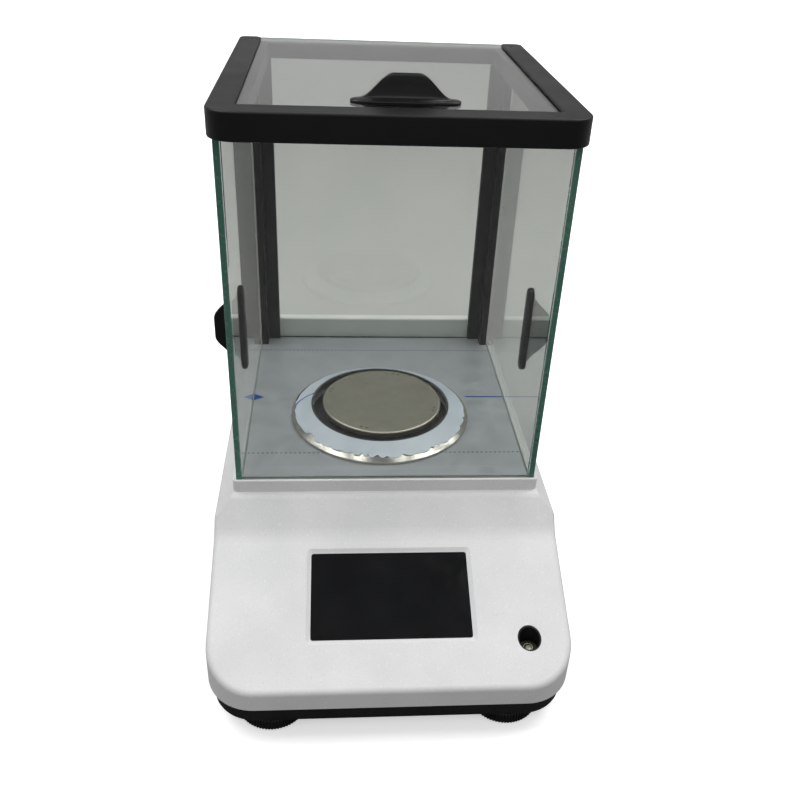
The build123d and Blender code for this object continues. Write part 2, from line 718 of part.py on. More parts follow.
# ---- door grips --------------------------------------------------------------------------------------
def grip_pad(thickness):
    """Pad with round ends, standing on z = 0 for a positive thickness and hanging for a negative one."""
    pad = extrude(RectangleRounded(GRIP_LENGTH, GRIP_WIDTH, GRIP_WIDTH / 2 - 0.1), thickness)
    outside = -1 if thickness > 0 else 0
    return fillet(pad.faces().sort_by(Axis.Z)[outside].edges(), GRIP_EDGE_R)


def make_grip():
    """Outer grip, lying along X: a pad with a bell shaped fin."""
    half = GRIP_LENGTH / 2 - 2.5
    foot = 1.4
    shoulder = GRIP_FIN - 0.6
    reach = half - 8.0
    steps = 9
    flank = []
    for step in range(steps + 1):
        share = step / steps
        rise = 0.5 - 0.5 * math.cos(math.pi * share)
        flank.append((-half + share * reach, foot + rise * (shoulder - foot)))
    other_flank = [(-x, z) for x, z in reversed(flank)]
    crown = Spline(*flank, (0, GRIP_FIN), *other_flank)
    base = Polyline((half, foot), (half, 0.4), (-half, 0.4), (-half, foot))
    fin = extrude(make_face(Plane.XZ * (crown + base)), amount=GRIP_FIN_THICK / 2, both=True)
    top = [edge for edge in fin.edges() if edge.length > GRIP_LENGTH]
    return grip_pad(GRIP_FLANGE) + fillet(top, 1.2)


def make_grip_plate():
    """Inner plate of a grip, on the other side of the glass."""
    return grip_pad(-GRIP_FLANGE)


# ---- weighing cell -----------------------------------------------------------------------------------
def make_cell_plate():
    low, high = CELL_PLATE_Z
    plate = block((-45, 45), (-16, 130), CELL_PLATE_Z)
    plate = fillet(plate.edges().filter_by(Axis.Z), 8)
    plate = plate - rod(0, PAN_Y, (low - CUT, high + CUT), HOOK_R + 1)
    for x, y in CELL_POSTS:
        plate = plate - rod(x, y, (low - CUT, high + CUT), SCREW_R + 0.3)
    return plate


def make_cell_screw(x, y):
    plate_top = CELL_PLATE_Z[1]
    head = rod(x, y, (plate_top, plate_top + 3), 3.0) - rod(x, y, (plate_top + 1.4, plate_top + 4), 1.4)
    return head + rod(x, y, (FLOOR_TOP + 3, plate_top), SCREW_R)


def make_cell_frame():
    """Bracket with two cheeks that carry the lever's pivot and the parallel guides."""
    base = CELL_PLATE_Z[1]
    top = GUIDE_Z[1]
    depth = (LEVER_PIVOT_Y - 6, LEVER_PIVOT_Y + 6)
    cheek = block((14, 26), (34, 100), (base, top)) - block((13, 27), (52, 92), (base + 10, top - 10))
    bridge = block((-14, 14), depth, (top - 12, top))
    foot = block((-14, 14), depth, (base, base + 14))
    bearing = rod_x(30, LEVER_PIVOT_Y, LEVER_Z + LEVER_THICK / 2, PIVOT_R + RUNNING)
    return cheek + mirrored(cheek) + bridge + foot - bearing


def make_guide(z):
    """Thin parallel guide with a necked flexure. The upper one reaches past the pan pin."""
    near_end = 9 if z > LEVER_Z else 24
    arm = block((-12, 12), (near_end, 34), (z, z + 1.2)) - rod(0, PAN_Y, (z - CUT, z + 2), 7.6)
    return arm - block((-13, 13), (27, 28.5), (z + 0.5, z + 2))


def make_hanger():
    """Coupling body between the pan pin, the guides, the hook eye and the calibration weight's rest."""
    low, high = 34, 83.5
    body = block((-10, 10), (PAN_Y - 7, PAN_Y + 7), (low, high))
    body = body - block((-5, 5), (PAN_Y - 8, PAN_Y + 8), (low + 10, high - 11.5))
    eye = rod(0, PAN_Y, (26.5, low), 6) - rod_y(0, (PAN_Y - 10, PAN_Y + 10), 29.5, 1.6)
    arm = block((CAL_WEIGHT_X - 4, -10), (PAN_Y - 3, PAN_Y + 3), (low, low + 5))
    rest = rod(CAL_WEIGHT_X, PAN_Y, (low, low + 9.5), 4)
    return body + eye + arm + rest


def make_pan_pin():
    low = 83.5
    pin = rod(0, PAN_Y, (low, PAN_TOP - 5.6), PIN_R)
    pin = chamfer(pin.edges().sort_by(Axis.Z)[-1], 0.8)
    return pin + rod(0, PAN_Y, (low, low + 3), 7.0)


def make_lever():
    low, high = LEVER_Z, LEVER_Z + LEVER_THICK
    beam = block((-4, 4), (20, COIL_Y + 15), (low, high))
    beam = beam - block((-1.5, 1.5), (48, 92), (low - CUT, high + CUT))
    pivot = rod_x(18, LEVER_PIVOT_Y, (low + high) / 2, PIVOT_R)
    former = rod(0, COIL_Y, (low - 3, low), COIL_R)
    return beam + pivot + former


def make_coil():
    bottom, top = 44, LEVER_Z - 3
    return rod(0, COIL_Y, (bottom, top), COIL_R) - rod(0, COIL_Y, (bottom - CUT, top + CUT), COIL_R - 1.6)


def make_magnet():
    """Pot magnet with a ring gap for the coil, its sides cut flat to pass between the cheeks."""
    base = CELL_PLATE_Z[1]
    pot = rod(0, COIL_Y, (base, 52), 19)
    gap = rod(0, COIL_Y, (base + 10, 53), COIL_R + 3) - rod(0, COIL_Y, (base + 9, 53), COIL_R - 4)
    flat = block((13.9, 20), (COIL_Y - 24, COIL_Y + 26), (base - 0.1, 53))
    return pot - gap - flat - mirrored(flat)


def make_position_sensor():
    """Light barrier round the free end of the lever, on its own small board."""
    low, high = LEVER_Z - 3, LEVER_Z + 9
    board = block((-10, 10), (124, 125.6), (CELL_PLATE_Z[1], 72))
    fork = block((-7, 7), (117.5, 124), (low, high)) - block((-5, 5), (117, 120), (low + 1.5, high - 1.5))
    return board + fork


def make_cal_motor():
    top = 32
    motor = rod(CAL_SCREW_X, PAN_Y, (FLOOR_TOP, top), 9)
    flange = block((CAL_SCREW_X - 13, CAL_SCREW_X + 13), (PAN_Y - 5, PAN_Y + 5), (top - 2, top))
    return motor + flange


def make_cal_rod():
    return rod(CAL_SCREW_X, CAL_ROD_Y, (FLOOR_TOP, CAL_TOP), CAL_ROD_R)


def make_cal_screw():
    return rod(CAL_SCREW_X, PAN_Y, (32.3, CAL_TOP), CAL_SCREW_R)


def make_cal_lifter():
    """Fork under the calibration weight, with a nut on the screw and a bush on the guide rod."""
    low, high = 43, 47
    fork = block((CAL_SCREW_X - 8, CAL_WEIGHT_X + 12), (PAN_Y - 10, PAN_Y + 20), (low, high))
    mouth = block((CAL_WEIGHT_X - 6, CAL_WEIGHT_X + 13), (PAN_Y - 6, PAN_Y + 6), (low - CUT, high + CUT))
    nut = rod(CAL_SCREW_X, PAN_Y, (low, high + 8), 6)
    guide = rod(CAL_SCREW_X, CAL_ROD_Y, (low, high + 4), 4)
    bore_z = (low - CUT, high + 9)
    fork = fork - mouth + nut + guide - rod(CAL_SCREW_X, PAN_Y, bore_z, CAL_SCREW_R + RUNNING)
    return fork - rod(CAL_SCREW_X, CAL_ROD_Y, bore_z, CAL_ROD_R + RUNNING)


def make_cal_weight():
    weight = rod(CAL_WEIGHT_X, PAN_Y, (47, 84), 11.5)
    return chamfer(weight.edges().filter_by(GeomType.CIRCLE), 0.8)


# ---- electronics -------------------------------------------------------------------------------------
def make_main_board():
    top = BOARD_Z + BOARD_THICK
    board = block((62, 102), (24, 102), (BOARD_Z, top))
    for x, y in BOARD_POSTS:
        board = board - rod(x, y, (BOARD_Z - CUT, top + CUT), POST_BORE_R)
    chip_z = (top, top + CHIP_THICK)
    return board + block((70, 84), (50, 64), chip_z) + block((86, 96), (72, 84), chip_z)


def jackscrew_places():
    return [SERIAL_X - JACKSCREW_PITCH / 2, SERIAL_X + JACKSCREW_PITCH / 2]


def make_connector_panel():
    """Rear plate with cutouts for the three sockets."""
    half_w = PANEL_HALF_W - SNUG
    half_h = PANEL_HALF_H - SNUG
    cut_y = (BACK - 5, BACK + CUT)
    plate = block((-half_w, half_w), (BACK - WALL, BACK - 1.0), (PANEL_Z - half_h, PANEL_Z + half_h))
    plate = plate - rod_y(POWER_X, cut_y, PANEL_Z, 5.0)
    plate = plate - block((SERIAL_X - 9.4, SERIAL_X + 9.4), cut_y, (PANEL_Z - 5.0, PANEL_Z + 5.0))
    for x in jackscrew_places():
        plate = plate - rod_y(x, cut_y, PANEL_Z, 2.6)
    return plate - block((USB_X - 6.2, USB_X + 6.2), cut_y, (PANEL_Z - 5.6, PANEL_Z + 5.6))


def make_power_socket():
    barrel = rod_y(POWER_X, (BACK - 15, BACK - 1), PANEL_Z, 4.9)
    barrel = barrel - rod_y(POWER_X, (BACK - 12, BACK), PANEL_Z, 3.0)
    body = block((POWER_X - 6, POWER_X + 6), (BACK - 24, BACK - 12), (PANEL_Z - 6, PANEL_Z + 6))
    pin = rod_y(POWER_X, (BACK - 12, BACK - 2), PANEL_Z, 1.0)
    return barrel + body + pin


def make_serial_socket():
    """Nine way socket with its flange and two jackscrew posts."""
    shell = block((SERIAL_X - 9.2, SERIAL_X + 9.2), (BACK - 12, BACK), (PANEL_Z - 4.7, PANEL_Z + 4.7))
    shell = chamfer(shell.edges().filter_by(Axis.Y).group_by(Axis.Z)[0], 1.6)
    flange_y = (BACK - 14, BACK - WALL)
    body = shell + block((SERIAL_X - 15.4, SERIAL_X + 15.4), flange_y, (PANEL_Z - 6.2, PANEL_Z + 6.2))
    for count, z in ((5, PANEL_Z + PIN_ROW), (4, PANEL_Z - PIN_ROW)):
        for column in range(count):
            x = SERIAL_X + (column - (count - 1) / 2) * PIN_PITCH
            body = body - rod_y(x, (BACK - 5, BACK + 5), z, 0.5)
    for x in jackscrew_places():
        body = body + rod_y(x, (BACK - 6, BACK - 1), PANEL_Z, 2.5)
        body = body - rod_y(x, (BACK - 10, BACK + 2), PANEL_Z, JACKSCREW_R)
    return body


def make_usb_socket():
    shell = block((USB_X - 6, USB_X + 6), (BACK - 17, BACK - 0.6), (PANEL_Z - 5.4, PANEL_Z + 5.4))
    shell = shell - block((USB_X - 4.2, USB_X + 4.2), (BACK - 10, BACK), (PANEL_Z - 3.9, PANEL_Z + 3.9))
    return shell + block((USB_X - 2.8, USB_X + 2.8), (BACK - 11, BACK - 1.5), (PANEL_Z - 1.6, PANEL_Z + 1.6))


# ---- write the parts ---------------------------------------------------------------------------------
def save_housing():
    save("upper_housing", make_upper_housing())
    save("base_tray", make_base_tray())
    save("foot_bushes", group(make_bush(x, y) for x, y in FEET.values()))
    save("housing_screws", group(make_housing_screw(x, y) for x, y in SCREW_SPOTS))
    save("hook_cover", make_hook_cover())
    for name, (x, y) in FEET.items():
        save(f"{name}_foot_wheel", make_foot_wheel(x, y))
        save(f"{name}_foot_pad", make_foot_pad(x, y))
    save("level_cup", make_level_cup())
    save("level_vial", make_level_vial())
    save("touch_glass", make_touch_glass())
    save("display_module", make_display_module())
    save("display_board", make_display_board())


def save_chamber():
    save("floor_plate", make_floor_plate())
    save("cell_collar", make_cell_collar())
    save("draft_ring", make_draft_ring())
    save("pan", make_pan())
    save("front_glass", make_front_glass())
    save("rear_glass", make_rear_glass())
    save("door_runners", make_runners())
    save("top_frame", make_top_frame())
    save("frame_screws", group(make_frame_screw(x) for x in (-FRAME_SCREW_X, FRAME_SCREW_X)))
    save("right_pillar", make_pillar())
    save("left_pillar", mirrored(make_pillar()))
    save("rear_crossbar", make_rear_crossbar())
    save("rear_sill", make_rear_sill())


def save_doors():
    """The grips are drawn lying along X and turned into place on each pane."""
    grip = make_grip()
    plate = make_grip_plate()
    outer = CHAMBER_WIDTH / 2
    right_grip = Pos(outer, SIDE_GRIP_Y, SIDE_GRIP_Z) * Rot(0, 90, 0) * grip
    right_plate = Pos(outer - GLASS, SIDE_GRIP_Y, SIDE_GRIP_Z) * Rot(0, 90, 0) * plate
    save("right_door_glass", make_side_glass())
    save("right_door_grip", right_grip)
    save("right_door_plate", right_plate)
    save("left_door_glass", mirrored(make_side_glass()))
    save("left_door_grip", mirrored(right_grip))
    save("left_door_plate", mirrored(right_plate))
    save("top_door_glass", make_top_glass())
    save("top_door_grip", Pos(TOP_GRIP_X, TOP_GRIP_Y, TOP_PANE_Z + TOP_GLASS) * grip)
    save("top_door_plate", Pos(TOP_GRIP_X, TOP_GRIP_Y, TOP_PANE_Z) * plate)


def save_weighing_cell():
    save("cell_plate", make_cell_plate())
    save("cell_screws", group(make_cell_screw(x, y) for x, y in CELL_POSTS))
    save("cell_frame", make_cell_frame())
    save("guide_plates", group(make_guide(z) for z in GUIDE_Z))
    save("hanger", make_hanger())
    save("pan_pin", make_pan_pin())
    save("lever_beam", make_lever())
    save("coil", make_coil())
    save("magnet_pot", make_magnet())
    save("position_sensor", make_position_sensor())
    save("cal_motor", make_cal_motor())
    save("cal_guide_rod", make_cal_rod())
    save("cal_screw", make_cal_screw())
    save("cal_lifter", make_cal_lifter())
    save("cal_weight", make_cal_weight())


def save_electronics():
    save("main_board", make_main_board())
    save("connector_panel", make_connector_panel())
    save("power_socket", make_power_socket())
    save("serial_socket", make_serial_socket())
    save("usb_socket", make_usb_socket())


def main():
    os.makedirs("parts", exist_ok=True)
    save_housing()
    save_chamber()
    save_doors()
    save_weighing_cell()
    save_electronics()


main()
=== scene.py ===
import bpy, bmesh, json, math, random
from mathutils import Matrix, Vector


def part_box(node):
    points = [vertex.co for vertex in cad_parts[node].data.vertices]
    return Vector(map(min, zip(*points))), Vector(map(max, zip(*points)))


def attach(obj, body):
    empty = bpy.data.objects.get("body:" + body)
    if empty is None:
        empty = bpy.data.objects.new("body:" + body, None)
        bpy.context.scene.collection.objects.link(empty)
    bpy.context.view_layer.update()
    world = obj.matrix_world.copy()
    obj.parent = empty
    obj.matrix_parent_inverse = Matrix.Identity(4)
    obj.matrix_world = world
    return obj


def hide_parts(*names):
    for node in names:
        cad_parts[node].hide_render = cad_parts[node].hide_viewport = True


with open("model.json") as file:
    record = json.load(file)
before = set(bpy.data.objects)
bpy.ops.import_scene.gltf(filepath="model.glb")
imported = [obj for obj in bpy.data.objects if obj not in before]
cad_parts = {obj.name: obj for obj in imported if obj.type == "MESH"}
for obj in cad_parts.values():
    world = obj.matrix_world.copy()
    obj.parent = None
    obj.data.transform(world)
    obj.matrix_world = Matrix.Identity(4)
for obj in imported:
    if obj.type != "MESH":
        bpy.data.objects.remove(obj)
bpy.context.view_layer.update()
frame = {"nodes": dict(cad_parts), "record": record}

MM = 0.001

pan_low, pan_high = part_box("pan")
ring_low, ring_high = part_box("draft_ring")
PAN_MIDDLE = (pan_low + pan_high) / 2 / MM
PAN_TOP = pan_high.z / MM
RING_MIDDLE = (ring_low + ring_high) / 2 / MM


# ---- colours and materials -------------------------------------------------------------------------
def srgb(red, green, blue):
    """A display colour, 0 to 255, as the linear colour that shaders take."""
    def linear(value):
        value /= 255
        return value / 12.92 if value <= 0.04045 else ((value + 0.055) / 1.055) ** 2.4
    return (linear(red), linear(green), linear(blue), 1.0)


def darker(colour, share):
    """The colour, with its brightness cut to share."""
    return tuple(value * share for value in colour[:3]) + (1.0,)


class Surface:
    """A node material that is put together step by step. Patterns lie in object space, sizes are in mm."""

    def __init__(self, name, **sockets):
        self.material = bpy.data.materials.new(name)
        self.material.use_nodes = True
        self.tree = self.material.node_tree
        self.tree.nodes.clear()
        self.output = self.node("ShaderNodeOutputMaterial")
        self.shader = self.node("ShaderNodeBsdfPrincipled")
        self.link(self.shader.outputs[0], self.output.inputs["Surface"])
        self.place = self.node("ShaderNodeTexCoord").outputs["Object"]
        for label, value in sockets.items():
            self.shader.inputs[label.replace("_", " ")].default_value = value

    def node(self, kind, **values):
        made = self.tree.nodes.new(kind)
        for label, value in values.items():
            setattr(made, label, value)
        return made

    def link(self, source, target):
        self.tree.links.new(source, target)

    def stretched(self, scale):
        """Object space, scaled along each axis."""
        mapping = self.node("ShaderNodeMapping")
        mapping.inputs["Scale"].default_value = scale
        self.link(self.place, mapping.inputs["Vector"])
        return mapping.outputs[0]

    def noise(self, size, detail=2.0, twist=0.0, place=None):
        made = self.node("ShaderNodeTexNoise")
        made.inputs["Scale"].default_value = 1 / (size * MM)
        made.inputs["Detail"].default_value = detail
        made.inputs["Distortion"].default_value = twist
        self.link(place or self.place, made.inputs["Vector"])
        return made.outputs["Fac"]

    def cells(self, size, feature="F1"):
        made = self.node("ShaderNodeTexVoronoi", feature=feature)
        made.inputs["Scale"].default_value = 1 / (size * MM)
        self.link(self.place, made.inputs["Vector"])
        return made.outputs["Distance"]

    def remap(self, value, low, high, to_low=0.0, to_high=1.0):
        made = self.node("ShaderNodeMapRange")
        self.link(value, made.inputs["Value"])
        made.inputs["From Min"].default_value = low
        made.inputs["From Max"].default_value = high
        made.inputs["To Min"].default_value = to_low
        made.inputs["To Max"].default_value = to_high
        return made.outputs["Result"]

    def maths(self, operation, first, second=0.0):
        made = self.node("ShaderNodeMath", operation=operation)
        for socket, value in zip(made.inputs, (first, second)):
            if isinstance(value, (int, float)):
                socket.default_value = value
            else:
                self.link(value, socket)
        return made.outputs[0]

    def mix(self, amount, first, second):
        made = self.node("ShaderNodeMix", data_type="RGBA")
        for socket, value in ((made.inputs[0], amount), (made.inputs[6], first), (made.inputs[7], second)):
            if isinstance(value, (int, float, tuple)):
                socket.default_value = value
            else:
                self.link(value, socket)
        return made.outputs[2]

    def tint(self, base, mask, amount, colour):
        """Base, turned to colour by at most amount where mask is 1."""
        return self.mix(self.maths("MULTIPLY", mask, amount), base, colour)

    def patches(self, size, detail=3.0):
        """Soft patches from 0 to 1."""
        return self.remap(self.noise(size, detail), 0.35, 0.65)

    def stains(self, size, detail=4.0):
        """Stains on a clean ground of 0."""
        return self.remap(self.noise(size, detail), 0.45, 0.7)

    def uneven(self, size, low, high, detail=3.0):
        """A value that wanders between low and high."""
        return self.remap(self.noise(size, detail), 0.3, 0.7, low, high)

    def axis(self, name):
        """One coordinate of object space, in mm."""
        made = self.node("ShaderNodeSeparateXYZ")
        self.link(self.place, made.inputs[0])
        return self.maths("DIVIDE", made.outputs[name], MM)

    def reach(self, x, y):
        """How far it is from the upright line through x, y, in mm."""
        gap = self.node("ShaderNodeVectorMath", operation="DISTANCE")
        self.link(self.stretched((1 / MM, 1 / MM, 0)), gap.inputs[0])
        gap.inputs[1].default_value = (x, y, 0)
        return gap.outputs["Value"]

    def near(self, x, y, radius, soft):
        """1 inside a round spot about x, y and 0 outside it."""
        return self.remap(self.reach(x, y), radius + soft, radius - soft)

    def band(self, value, middle, half, soft=0.1):
        """1 where value lies within half of middle."""
        away = self.maths("ABSOLUTE", self.maths("SUBTRACT", value, middle))
        return self.remap(away, half + soft, half - soft)

    def colour(self, value):
        self.link(value, self.shader.inputs["Base Color"])

    def roughness(self, value):
        self.link(value, self.shader.inputs["Roughness"])

    def bump(self, height, depth, strength):
        """Adds relief of that depth in mm on top of what is there already."""
        made = self.node("ShaderNodeBump")
        made.inputs["Strength"].default_value = strength
        made.inputs["Distance"].default_value = depth * MM
        self.link(height, made.inputs["Height"])
        target = self.shader.inputs["Normal"]
        if target.is_linked:
            self.link(target.links[0].from_socket, made.inputs["Normal"])
        self.link(made.outputs[0], target)

    def edges(self, radius):
        """1 on sharp edges and 0 on flats: how far a rounded normal turns away. Used for wear, and on the
        white housing for a painted edge highlight.
        """
        rounded = self.node("ShaderNodeBevel", samples=4)
        rounded.inputs["Radius"].default_value = radius * MM
        true = self.node("ShaderNodeNewGeometry")
        dot = self.node("ShaderNodeVectorMath", operation="DOT_PRODUCT")
        self.link(rounded.outputs[0], dot.inputs[0])
        self.link(true.outputs["Normal"], dot.inputs[1])
        turned = self.maths("SUBTRACT", 1.0, dot.outputs["Value"])
        return self.remap(turned, 0.002, 0.05)

    def let_light_through(self, tint):
        """Shadow rays and soft light pass straight through, tinted."""
        clear = self.node("ShaderNodeBsdfTransparent")
        clear.inputs[0].default_value = tint
        path = self.node("ShaderNodeLightPath")
        soft = self.maths("MAXIMUM", path.outputs["Is Shadow Ray"], path.outputs["Is Diffuse Ray"])
        join = self.node("ShaderNodeMixShader")
        self.link(soft, join.inputs[0])
        self.link(self.shader.outputs[0], join.inputs[1])
        self.link(clear.outputs[0], join.inputs[2])
        self.link(join.outputs[0], self.output.inputs["Surface"])


def white_housing():
    """White moulding with a fine spark-eroded texture, and a painted highlight along its rounded edges."""
    s = Surface("white_textured_moulding", Specular_IOR_Level=0.35)
    base = s.mix(s.patches(38), srgb(215, 215, 216), srgb(222, 222, 222))
    fleck = s.remap(s.noise(0.9), 0.36, 0.30)
    base = s.tint(base, fleck, 0.30, srgb(170, 170, 172))
    pale = s.remap(s.noise(1.3, 1.0), 0.66, 0.72)
    base = s.tint(base, pale, 0.35, srgb(246, 246, 246))
    dust = s.remap(s.cells(11.0), 0.035, 0.02)
    base = s.tint(base, dust, 0.35, srgb(150, 146, 140))
    # Painted highlight: the rounded edges are painted paler, as where light catches them.
    s.colour(s.tint(base, s.edges(0.5), 0.18, srgb(248, 248, 248)))
    s.roughness(s.uneven(2.4, 0.46, 0.60))
    s.bump(s.noise(0.8), 0.016, 0.8)
    s.bump(s.noise(2.2, 1.0), 0.02, 0.5)
    return s.material


def black_plastic(name, grain=0.5, low=0.42, high=0.58, shade=15):
    """Satin black moulding."""
    s = Surface(name, Specular_IOR_Level=0.28)
    dark = srgb(shade - 3, shade - 2, shade - 1)
    base = s.mix(s.patches(14), dark, srgb(shade + 4, shade + 5, shade + 6))
    base = s.tint(base, s.edges(0.35), 0.30, srgb(64, 66, 68))
    lint = s.remap(s.cells(9.0), 0.03, 0.015)
    s.colour(s.tint(base, lint, 0.25, srgb(110, 110, 108)))
    s.roughness(s.uneven(3.0, low, high))
    s.bump(s.noise(grain), 0.006, 0.6)
    return s.material


def black_frame():
    """Fine blasted and black anodised aluminium."""
    s = Surface("black_anodised_frame", Specular_IOR_Level=0.26)
    base = s.mix(s.patches(30, 4.0), srgb(6, 7, 9), srgb(12, 13, 15))
    s.colour(s.tint(base, s.edges(0.5), 0.22, srgb(56, 58, 60)))
    s.roughness(s.uneven(34.0, 0.38, 0.44))
    s.bump(s.noise(0.6), 0.0012, 0.5)
    return s.material


def steel(name, colour, rough=(0.28, 0.42), grain=(0.9, 9, 0.9)):
    """Brushed or machined metal. The brush marks per mm along each axis are in grain."""
    s = Surface(name, Metallic=1.0)
    brushed = s.noise(1.0, 3.0, place=s.stretched(grain))
    dark = darker(colour, 0.84)
    base = s.mix(s.remap(brushed, 0.3, 0.7), dark, colour)
    s.colour(s.tint(base, s.stains(22, 3.0), 0.25, dark))
    blend = s.maths("ADD", s.maths("MULTIPLY", brushed, 0.6), s.maths("MULTIPLY", s.noise(12, 3.0), 0.4))
    s.roughness(s.remap(blend, 0.3, 0.7, *rough))
    s.bump(brushed, 0.002, 0.5)
    return s.material


def clear_glass():
    """Float glass with a faint grey green body and a trace of wiping marks."""
    s = Surface("float_glass", Transmission_Weight=1.0, IOR=1.42)
    s.colour(s.mix(s.patches(60, 2.0), srgb(238, 240, 237), srgb(242, 243, 240)))
    smear = s.noise(1.0, 4.0, place=s.stretched((14, 14, 40)))
    s.roughness(s.remap(smear, 0.55, 0.9, 0.0, 0.004))
    s.let_light_through(srgb(240, 242, 240))
    return s.material


def glass_edge():
    """Ground and polished edge of float glass, where the green of the glass shows."""
    s = Surface("green_glass_edge", Specular_IOR_Level=0.6)
    length = s.noise(26, 3.0, place=s.stretched((1, 1, 0.25)))
    base = s.mix(s.remap(length, 0.3, 0.7), srgb(52, 98, 84), srgb(78, 122, 106))
    s.colour(s.tint(base, s.edges(0.5), 0.5, srgb(128, 160, 148)))
    s.roughness(s.uneven(3.0, 0.16, 0.32))
    s.bump(s.noise(1.2, 3.0), 0.02, 0.4)
    return s.material


def screen_glass():
    """The screen's dark cover glass, with finger marks."""
    s = Surface("dark_touch_glass", Specular_IOR_Level=0.32, Coat_Weight=0.3, Coat_Roughness=0.04)
    s.colour(s.mix(s.patches(30), srgb(15, 16, 17), srgb(20, 21, 22)))
    finger = s.noise(16, 4.0, twist=0.6)
    s.roughness(s.remap(finger, 0.4, 0.75, 0.06, 0.17))
    s.bump(s.noise(40, 1.0), 0.01, 0.2)
    return s.material


def rubber():
    s = Surface("black_rubber", Specular_IOR_Level=0.3)
    s.colour(s.mix(s.patches(8), srgb(20, 20, 20), srgb(32, 32, 31)))
    s.roughness(s.uneven(2.0, 0.72, 0.88))
    s.bump(s.noise(0.6, 3.0), 0.03, 0.8)
    return s.material


def grey_sill():
    """Pale grey moulding of the sill under the rear glass."""
    s = Surface("grey_moulding", Specular_IOR_Level=0.35)
    s.colour(s.mix(s.patches(25), srgb(226, 227, 228), srgb(234, 235, 235)))
    s.roughness(s.uneven(2.4, 0.48, 0.62))
    s.bump(s.noise(0.6), 0.03, 0.7)
    return s.material


def circuit_board():
    """Green solder mask, with paler tracks between its fields."""
    s = Surface("green_circuit_board", Specular_IOR_Level=0.5)
    fields = s.remap(s.cells(3.2, "DISTANCE_TO_EDGE"), 0.03, 0.05)
    s.colour(s.mix(fields, srgb(58, 120, 70), srgb(18, 74, 40)))
    s.roughness(s.uneven(6, 0.25, 0.45))
    s.bump(fields, 0.03, 0.5)
    return s.material


def vial_liquid():
    """The level's glass and the olive liquid in it."""
    s = Surface("vial_liquid", Transmission_Weight=0.55, IOR=1.4, Specular_IOR_Level=0.6)
    s.colour(s.mix(s.patches(3.0, 2.0), srgb(74, 76, 62), srgb(92, 94, 76)))
    s.roughness(s.uneven(2.0, 0.03, 0.08, 2.0))
    s.bump(s.noise(5.0, 1.0), 0.01, 0.2)
    return s.material


# The print on the chamber floor's film, in mm: two rows of pinholes across, a blue line at the right, and an
# arrow head that starts at the left edge of the plate.
PINHOLE_ROWS = (-32.0, 108.5)
PINHOLE_HALF_PITCH = 1.5
BLUE_LINE_Y = 38.0
BLUE_LINE_START = 62.0
ARROW_Y = 37.5
ARROW_FOOT = -90.0
ARROW_LENGTH = 7.0
ARROW_HALF_WIDTH = 4.255
# Radius of the dark disc painted under the pan as its shadow, in mm.
PAN_SHADOW_RADIUS = 48.0


def floor_steel():
    """The chamber's floor plate: satin stainless under a printed pale film, with painted shade: a dark disc
    under the pan.
    """
    s = Surface("chamber_floor_steel", Metallic=0.55, Specular_IOR_Level=0.4)
    streak = s.noise(1.0, 4.0, place=s.stretched((9, 160, 60)))
    base = s.mix(s.remap(streak, 0.3, 0.7), srgb(164, 168, 174), srgb(178, 182, 187))
    base = s.tint(base, s.stains(30), 0.3, srgb(148, 153, 160))
    across = s.axis("X")
    along = s.axis("Y")
    dash = s.remap(s.maths("PINGPONG", across, PINHOLE_HALF_PITCH), 0.6, 0.9)
    for row in PINHOLE_ROWS:
        base = s.tint(base, s.maths("MULTIPLY", s.band(along, row, 0.6), dash), 0.8, srgb(84, 92, 108))
    right_of_start = s.remap(across, BLUE_LINE_START, BLUE_LINE_START + 0.5)
    blue_line = s.maths("MULTIPLY", s.band(along, BLUE_LINE_Y, 0.8), right_of_start)
    off_middle = s.maths("ABSOLUTE", s.maths("SUBTRACT", along, ARROW_Y))
    taper = s.maths("SUBTRACT", 1.0, s.maths("DIVIDE", off_middle, ARROW_HALF_WIDTH))
    from_foot = s.maths("SUBTRACT", across, ARROW_FOOT)
    arrow = s.remap(s.maths("SUBTRACT", s.maths("MULTIPLY", taper, ARROW_LENGTH), from_foot), -0.1, 0.1)
    base = s.mix(s.maths("MAXIMUM", blue_line, arrow), base, srgb(26, 74, 158))
    # Painted shade: a dark disc on the floor under the pan, where its shadow falls.
    pan_shadow_disc = s.near(RING_MIDDLE.x, RING_MIDDLE.y, PAN_SHADOW_RADIUS, 0.3)
    s.colour(s.mix(pan_shadow_disc, base, srgb(44, 46, 47)))
    s.roughness(s.uneven(12, 0.34, 0.50, 4.0))
    s.bump(s.noise(0.6), 0.002, 0.5)
    return s.material


# The four pairs of small marks on the pan: their directions in degrees, how far they are from the pan's axis
# in mm, and by how many degrees each mark of a pair is off the pair's middle.
MARK_DIRECTIONS = (160, 249, 71.5, 340.5)
MARK_REACH = 37.3
MARK_OFFSET = 3.0


